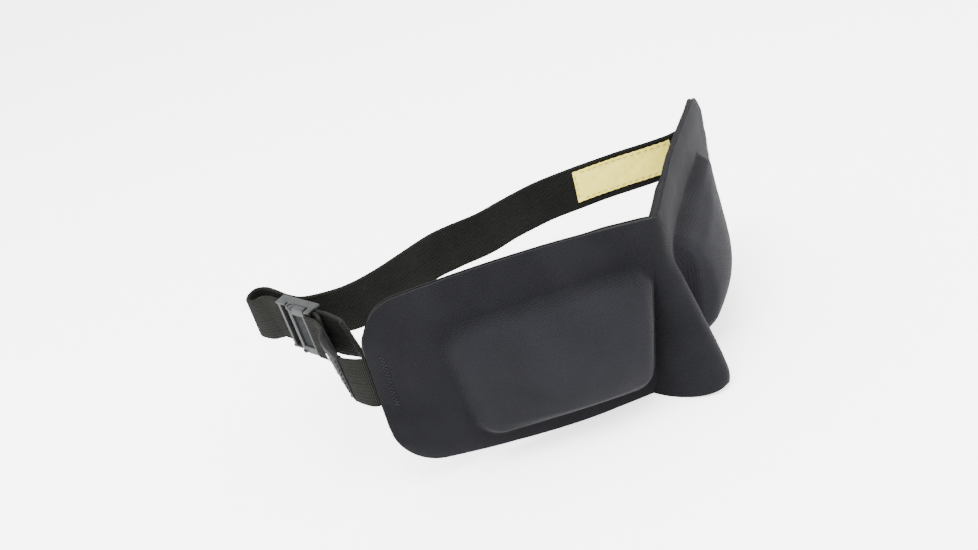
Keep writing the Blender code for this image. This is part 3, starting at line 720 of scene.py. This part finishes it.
def thread_material(name, base, roughness=0.7):
    s = Shade(name)
    fibre = s.noise(s.solid(3000.0), 1.0, 4.0, 0.7)
    twist = s.wave(s.solid(900.0), 1.0, "DIAGONAL", 1.0)
    mixed = s.math("ADD", s.math("MULTIPLY", fibre, 0.6), s.math("MULTIPLY", twist, 0.4))
    s.colour(s.ramp(mixed, [(0.25, tinted(base, 0.6)), (0.75, tinted(base, 1.35))]))
    return s.finish(roughness, s.bump(mixed, 0.00008, 0.6), 0.05, 0.4, 0.15)


def plastic_material():
    """Moulded acetal: slight orange peel, smudges and hair scratches."""
    s = Shade("moulded_plastic")
    peel = s.noise(s.solid(1500.0), 1.0, 2.0, 0.5)
    smudge = s.noise(s.solid(220.0), 1.0, 4.0, 0.6)
    scratch = s.wave(s.solid(2600.0), 1.0, "DIAGONAL", 9.0)
    s.colour(s.ramp(smudge, [(0.3, (0.010, 0.011, 0.0115)), (0.7, (0.021, 0.022, 0.023))]))
    rough = s.math("ADD", s.math("MULTIPLY", smudge, 0.2), 0.42)
    relief = s.bump(peel, 0.00005, 0.5)
    relief = s.bump(scratch, 0.00001, 0.25, relief)
    return s.finish(rough, relief, 0.0, 0.5, 0.16)


# ---------------------------------------------------------------- mask pieces

def dress_mask(knit, foam_mat, lining_mat):
    half, reaches = outer_grid()
    field = inward_field(half)
    total = thickness_grid(half, reaches)
    slack = wobble(half, 15.0, 3.0) * 0.22 + wobble(half, 6.0, 9.0) * 0.06
    half = half + field * slack[..., None]
    flare_end = NOSE_SPAN * FLARE_SHARE
    cloth = np.interp(reaches, (0.0, flare_end, LOBE_LENGTH),
                      (0.0, FLARE_CLOTH, FLARE_CLOTH + LOBE_LENGTH - flare_end))
    uv_half = np.stack([np.broadcast_to(cloth[:, None], half.shape[:2]), half[..., 2]], -1)
    uv = np.concatenate([uv_half[:0:-1] * (-1.0, 1.0), uv_half])

    def depth(value):
        return both_sides(half + field * (np.broadcast_to(value, half.shape[:2]))[..., None])

    cover = layer_mesh("knit_cover", depth(0.0), depth(COVER_THICKNESS), uv, [knit])
    core_front = depth(COVER_THICKNESS + LAYER_GAP)
    core_back = depth(total - LINING_THICKNESS - LAYER_GAP)
    core = layer_mesh("laminated_foam", inset_rim(core_front), inset_rim(core_back), uv, [foam_mat])
    # Painted light on the cup faces, kept as a point attribute of the cover for its material.
    paint_cup_light(cover, half, reaches)
    lining = layer_mesh("tricot_lining", depth(total - LINING_THICKNESS), depth(total), uv, [lining_mat])
    area = grid_area(both_sides(half)) * MM * MM
    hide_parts("front_cover")
    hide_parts("foam_core")
    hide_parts("inner_lining")
    for piece, name in ((cover, "charcoal_knit"), (core, "grey_foam"), (lining, "black_lining")):
        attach(piece, "mask")
    return cover, core, lining, area


def paint_cup_light(cover, half, reaches):
    """Painted light: the knit over the cup faces is made paler, standing in for the light that falls on
    them.
    """
    inset = cup_inset(reaches[:, None], half[..., 2])
    light_on_cups = smoothstep(inset / CUP_STEP_WIDTH) * (reaches[:, None] > NOSE_SPAN * 0.75)
    both = np.concatenate([light_on_cups[:0:-1], light_on_cups]).ravel()
    layer = cover.data.attributes.new("painted_cup_light", "FLOAT", "POINT")
    layer.data.foreach_set("value", np.concatenate([both, both]).astype(np.float32))


def inset_rim(grid):
    """Pull the outline of a grid in a little, so that the foam sits back between cover and lining."""
    moved = grid.copy()
    middle = grid.mean(axis=1, keepdims=True)
    for row in (0, -1):
        gap = middle[:, 0] - grid[:, row]
        moved[:, row] += gap / np.linalg.norm(gap, axis=1, keepdims=True) * FOAM_EDGE_SETBACK
    for column, inner in ((0, 1), (-1, -2)):
        gap = grid[inner] - grid[column]
        moved[column] += gap / np.linalg.norm(gap, axis=1, keepdims=True) * FOAM_END_SETBACK
    return moved


def grid_area(grid):
    a = grid[1:, :-1] - grid[:-1, :-1]
    b = grid[:-1, 1:] - grid[:-1, :-1]
    return float(np.linalg.norm(np.cross(a, b), axis=-1).sum())


def lobe_tack(name, node, side, mat):
    """Zigzag bar of dark thread that locks a strap end, seen on the front of a lobe."""
    points = []
    for k in range(31):
        s = LOBE_LENGTH - 5.3 + 0.9 * (1 if k % 2 else -1)
        z = STRAP_Z - 11.0 + 22.0 * k / 30.0
        points.append(surface_frame(side, s, z, -0.1))
    lines = [[a, a.lerp(b, 0.25) - push(side) * 0.14, a.lerp(b, 0.5) - push(side) * 0.2,
              a.lerp(b, 0.75) - push(side) * 0.14, b] for a, b in zip(points, points[1:])]
    obj = threads(name, [np.array(line) for line in lines], 0.15, mat)
    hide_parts(node)
    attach(obj, "mask")
    return obj


def push(side):
    """Unit vector into a lobe."""
    return Vector((-side * math.sin(LOBE_SWEEP), math.cos(LOBE_SWEEP), 0.0))


# ---------------------------------------------------------------- strap, labels

def nearest(path, x, y):
    return min(range(len(path)), key=lambda k: (path[k][0].xy - Vector((x, y))).length)


def dress_strap(mat):
    path = strap_route()

    def sway(run, across):
        curl = 0.16 * np.sin(run / 23.0)[:, None] * across[None, :] ** 2
        ripple = 0.10 * np.sin(run / 3.9)[:, None] * across[None, :] ** 3
        return curl + ripple

    strap = webbing("elastic_strap", path, STRAP_WIDTH, STRAP_THICKNESS, [mat], bend=sway)
    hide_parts("main_strap", "strap_fold", "strap_tail")
    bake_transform(strap)
    return strap, path


def dress_care_label(path, tape, yarn):
    part = path[nearest(path, 94, 65):nearest(path, 52, 89) + 1]
    centres, ups, face, run = path_frames(part)
    across = np.linspace(-1.0, 1.0, 41)
    lift = -(STRAP_THICKNESS / 2.0 + 0.18)
    edge = np.exp(-((1.0 - np.abs(across)) / 0.14) ** 2)
    phase = run[:, None] * 2.0 * math.pi / 3.4 + 0.9 * np.sin(run[:, None] / 5.0)
    pucker = 0.16 * np.sin(phase) * edge[None]
    drape = 0.22 * np.sin(run[:, None] / 6.1 + 2.0 * across[None]) * (1.0 - across[None] ** 2)
    fray = 0.12 * np.sin(run * 1.9)[:, None] * np.sign(across)[None] * edge[None]
    width = 0.9 + 7.7 * across[None] + fray
    base = centres[:, None] + ups[:, None] * width[..., None]
    outer = base + face[:, None] * (lift - 0.28 - np.abs(pucker + drape))[..., None]
    inner = outer + face[:, None] * 0.22
    uv = np.stack(np.broadcast_arrays(run[:, None], 7.7 * across[None]), -1)
    label = layer_mesh("care_tape", inner, outer, uv, [tape])
    lines = []
    normals = -face
    seat = lift - 0.46
    for offset in CARE_SEAMS:
        lines += running_stitch(side_line(part, offset, seat)[1:-1], normals[1:-1], *CARE_STITCH)
    for k in (1, len(part) - 2):
        cross = np.array([centres[k] + ups[k] * t + face[k] * seat
                          for t in np.linspace(CARE_SEAMS[1], CARE_SEAMS[0], 30)])
        lines += running_stitch(cross, np.repeat(normals[k][None], 30, 0), *CARE_STITCH)
    stitches = threads("care_tape_stitches", lines, CARE_STITCH[2], yarn)
    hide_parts("care_label")
    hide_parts("care_label_thread")
    for piece in (label, stitches):
        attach(piece, "mask")
    return label, stitches, length_of(part)


def dress_anchor(elastic, satin, dark_yarn, pale_yarn):
    path = anchor_route()
    band = webbing("short_strap", path, STRAP_WIDTH, ANCHOR_THICKNESS, [elastic])
    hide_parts("anchor_strap")
    first, last = nearest(path, -108.6, 67), nearest(path, -99.2, 90)
    part = path[first:last + 1]
    centres, ups, face, run = path_frames(part)
    half_w, half_t = STRAP_WIDTH / 2.0 + 0.45, ANCHOR_THICKNESS / 2.0 + 0.45
    turn = np.linspace(0.0, 2.0 * math.pi, 96, endpoint=False)
    c, s = np.cos(turn), np.sin(turn)
    wide = half_w * np.sign(c) * np.abs(c) ** 0.32
    deep = half_t * np.sign(s) * np.abs(s) ** 0.5
    ripple = 1.0 + 0.07 * np.sin(run[:, None] / 2.7 + 3.0 * c[None])
    outer = (centres[:, None] + ups[:, None] * wide[None, :, None]
             + face[:, None] * (deep[None] * ripple)[..., None])
    inner = (centres[:, None] + ups[:, None] * (wide * 0.975)[None, :, None]
             + face[:, None] * (deep * 0.72)[None, :, None])
    label = sleeve_mesh("woven_sleeve", outer, inner, run, wide + 3.0 * s, satin)
    widths = np.linspace(-9.8, 9.8, 40)
    seam_line = np.array([centres[3] + ups[3] * t - face[3] * (half_t + 0.12) for t in widths])
    seam = running_stitch(seam_line, np.repeat(-face[3][None], 40, 0), *SLEEVE_STITCH)
    stitch = threads("woven_sleeve_seam", seam, SLEEVE_STITCH[2], dark_yarn)
    motif = threads("woven_sleeve_motif", lozenges(centres, ups, face, half_t), 0.22, pale_yarn)
    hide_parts("woven_label")
    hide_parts("woven_label_thread")
    spot = nearest(path, -96.0, 96.5)
    c_all, u_all, f_all, _ = path_frames(path)
    rows = []
    for shift in (-0.5, 0.5):
        along = c_all[min(spot + 1, len(path) - 1)] - c_all[spot - 1]
        along /= np.linalg.norm(along)
        line = np.array([c_all[spot] + along * shift + u_all[spot] * t
                         - f_all[spot] * (ANCHOR_THICKNESS / 2 + 0.1) for t in widths])
        rows += running_stitch(line, np.repeat(-f_all[spot][None], 40, 0), *BARTACK_STITCH)
    tack = threads("short_strap_bartack", rows, BARTACK_STITCH[2], dark_yarn)
    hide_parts("anchor_bartack")
    for piece in (band, label, stitch, motif, tack):
        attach(piece, "mask")
    around = np.linalg.norm(outer[0] - np.roll(outer[0], 1, 0), axis=1).sum() * MM
    return band, label, path, [stitch, motif], tack, (length_of(part), around)


def lozenges(centres, ups, face, half_t):
    """Plain woven figures in pale thread on the sleeve: a row of small diamonds, no lettering."""
    lines = []
    count = len(centres)
    for row, t in enumerate(np.linspace(-6.6, 6.6, 5)):
        k = int(count * (0.42 + 0.10 * (row % 2)))
        along = centres[k + 1] - centres[k - 1]
        along /= np.linalg.norm(along)
        middle = centres[k] + ups[k] * t - face[k] * (half_t + 0.06)
        corners = [middle + along * 1.7, middle + ups[k] * 1.1, middle - along * 1.7, middle - ups[k] * 1.1]
        for a, b in zip(corners, corners[1:] + corners[:1]):
            lines.append(np.linspace(a, b, 4))
    return lines


def sleeve_mesh(name, outer, inner, run, around, mat):
    count, sides = outer.shape[:2]
    index = np.arange(count * sides).reshape(count, sides)
    base = count * sides
    a, b = index[:-1], index[1:]
    faces = np.stack([a, np.roll(a, -1, 1), np.roll(b, -1, 1), b], -1).reshape(-1, 4)
    under = faces[:, ::-1] + base
    first, last = index[0], index[-1]
    mouth = np.stack([first, first + base, np.roll(first, -1) + base, np.roll(first, -1)], -1)
    tail = np.stack([np.roll(last, -1), np.roll(last, -1) + base, last + base, last], -1)
    verts = np.concatenate([outer.reshape(-1, 3), inner.reshape(-1, 3)])
    uv = np.stack(np.broadcast_arrays(run[:, None], around[None]), -1).reshape(-1, 2)
    faces = np.concatenate([faces, under, mouth, tail])
    return make_mesh(name, verts, faces, [mat], np.concatenate([uv, uv]))


# ---------------------------------------------------------------- buckle

def rounded_copy(node, name, width, mat):
    """A node's own shape with its edges rounded over, so that they catch the light."""
    work = bmesh.new()
    work.from_mesh(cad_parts[node].data)
    bmesh.ops.remove_doubles(work, verts=work.verts, dist=0.02 * MM)
    bmesh.ops.dissolve_limit(work, angle_limit=math.radians(2), verts=work.verts, edges=work.edges)
    rims = [e for e in work.edges if len(e.link_faces) == 2 and e.calc_face_angle() > math.radians(32)]
    bmesh.ops.bevel(work, geom=rims, offset=width * MM, segments=3, profile=0.6, affect="EDGES",
                    clamp_overlap=True)
    mesh = bpy.data.meshes.new(name)
    work.to_mesh(mesh)
    work.free()
    mesh.materials.append(mat)
    mesh.shade_smooth()
    mesh.set_sharp_from_angle(angle=math.radians(50))
    obj = bpy.data.objects.new(name, mesh)
    bpy.context.scene.collection.objects.link(obj)
    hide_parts(node)
    return obj


def buckle_point(x, y, z):
    return BUCKLE_PLACE + BUCKLE_TILT.to_matrix() @ Vector((x, y, z))


def diamond_knurl(mat):
    """Pad of small pyramids in the lever's grip window."""
    rows, cols = 10, 34
    y = np.linspace(PIVOT_Y - 6.75, PIVOT_Y - 2.05, rows + 1)
    z = np.linspace(-8.0, 8.0, cols + 1)
    verts, faces = [], []
    for layer in range(2):
        for i in range(rows + 1):
            for j in range(cols + 1):
                peak = 0.5 if layer == 0 and (i + j) % 2 == 0 else 0.12
                x = PIVOT_X - 0.2 - (peak if layer == 0 else -0.15)
                verts.append(buckle_point(x, y[i], z[j]))
    base = (rows + 1) * (cols + 1)
    for i in range(rows):
        for j in range(cols):
            a, b = i * (cols + 1) + j, (i + 1) * (cols + 1) + j
            if (i + j) % 2 == 0:
                faces += [(a, b, a + 1), (b, b + 1, a + 1)]
            else:
                faces += [(a, b, b + 1), (a, b + 1, a + 1)]
            faces.append((base + a, base + a + 1, base + b + 1, base + b))
    ring = [i * (cols + 1) for i in range(rows + 1)] + [rows * (cols + 1) + j for j in range(1, cols + 1)]
    ring += [i * (cols + 1) + cols for i in range(rows - 1, -1, -1)] + list(range(cols - 1, 0, -1))
    for a, b in zip(ring, ring[1:] + ring[:1]):
        faces.append((a, base + a, base + b, b))
    return make_mesh("thumb_lever_knurl", verts, faces, [mat], sharp=15.0)


def dress_buckle(plastic):
    body = rounded_copy("buckle_frame", "buckle_body", 0.22, plastic)
    lever = rounded_copy("cam_lever", "thumb_lever", 0.25, plastic)
    knurl = diamond_knurl(plastic)
    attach(body, "mask")
    for piece in (lever, knurl):
        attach(piece, "lever")
    return body


# ---------------------------------------------------------------- camera, floor and light

def make_camera():
    yaw, pitch, roll = (math.radians(angle) for angle in CAMERA_ANGLES)
    back = Vector((math.sin(yaw) * math.cos(pitch), -math.cos(yaw) * math.cos(pitch), math.sin(pitch)))
    right = (-back).cross(Vector((0, 0, 1))).normalized()
    up = right.cross(-back)
    x_axis = right * math.cos(roll) + up * math.sin(roll)
    y_axis = up * math.cos(roll) - right * math.sin(roll)
    data = bpy.data.cameras.new("camera")
    data.sensor_width = SENSOR_WIDTH
    data.lens = LENS
    cam = bpy.data.objects.new("camera", data)
    bpy.context.scene.collection.objects.link(cam)
    cam.matrix_world = Matrix((x_axis, y_axis, back)).transposed().to_4x4()
    cam.location = CAMERA_PLACE * MM + SHIFT
    bpy.context.scene.camera = cam


def make_stage():
    mesh = bpy.data.meshes.new("floor")
    far = FLOOR_HALF
    mesh.from_pydata([(-far, -far, 0), (far, -far, 0), (far, far, 0), (-far, far, 0)], [], [(0, 1, 2, 3)])
    floor = bpy.data.objects.new("floor", mesh)
    bpy.context.scene.collection.objects.link(floor)
    paper = Shade("white_sweep")
    fibre = paper.noise(paper.solid(300.0), 1.0, 2.0, 0.5)
    paper.colour(paper.ramp(fibre, [(0.3, (0.93, 0.93, 0.93)), (0.7, (0.95, 0.95, 0.95))]))
    paper.shader.inputs["Emission Color"].default_value = (1.0, 1.0, 1.0, 1.0)
    paper.shader.inputs["Emission Strength"].default_value = FLOOR_GLOW
    mesh.materials.append(paper.finish(0.9, None, 0.0, 0.5, 0.1))
    world = bpy.data.worlds.new("soft_room")
    world.use_nodes = True
    world.node_tree.nodes["Background"].inputs[0].default_value = (1, 1, 1, 1)
    world.node_tree.nodes["Background"].inputs[1].default_value = ROOM_LIGHT
    bpy.context.scene.world = world
    for name, power, place in LAMPS:
        lamp = bpy.data.lights.new(name, "AREA")
        lamp.energy = power
        lamp.size = LAMP_SIZE
        obj = bpy.data.objects.new(name, lamp)
        obj.location = place
        obj.rotation_euler = (LAMP_AIM - obj.location).to_track_quat("-Z", "Y").to_euler()
        bpy.context.scene.collection.objects.link(obj)


# ---------------------------------------------------------------- build

def build():
    knit = knit_material("heather_knit", (0.0058, 0.0058, 0.0070), 0.5, 0.03, 1.0)
    lining_mat = knit_material("brushed_tricot", (0.004, 0.004, 0.0046), 0.6, 0.06, 0.4)
    foam_mat = foam_material()
    elastic = elastic_material()
    tape = label_material()
    satin = black_tape_material()
    yarn = thread_material("yellow_yarn", (0.30, 0.26, 0.05))
    dark_yarn = thread_material("black_yarn", (0.005, 0.005, 0.006))
    pale_yarn = thread_material("pale_yarn", (0.62, 0.62, 0.6))
    plastic = plastic_material()

    cover, core, lining, area = dress_mask(knit, foam_mat, lining_mat)
    left_tack = lobe_tack("left_tack_stitches", "left_lobe_tack", -1, dark_yarn)
    right_tack = lobe_tack("right_tack_stitches", "right_lobe_tack", 1, dark_yarn)
    strap, path = dress_strap(elastic)
    label, label_stitches, label_length = dress_care_label(path, tape, yarn)
    band, sleeve, anchor_path, sleeve_bits, tack, sleeve_flat = dress_anchor(elastic, satin, dark_yarn,
                                                                             pale_yarn)
    buckle = dress_buckle(plastic)
    length_of(path)
    length_of(anchor_path)


build()
make_camera()
make_stage()
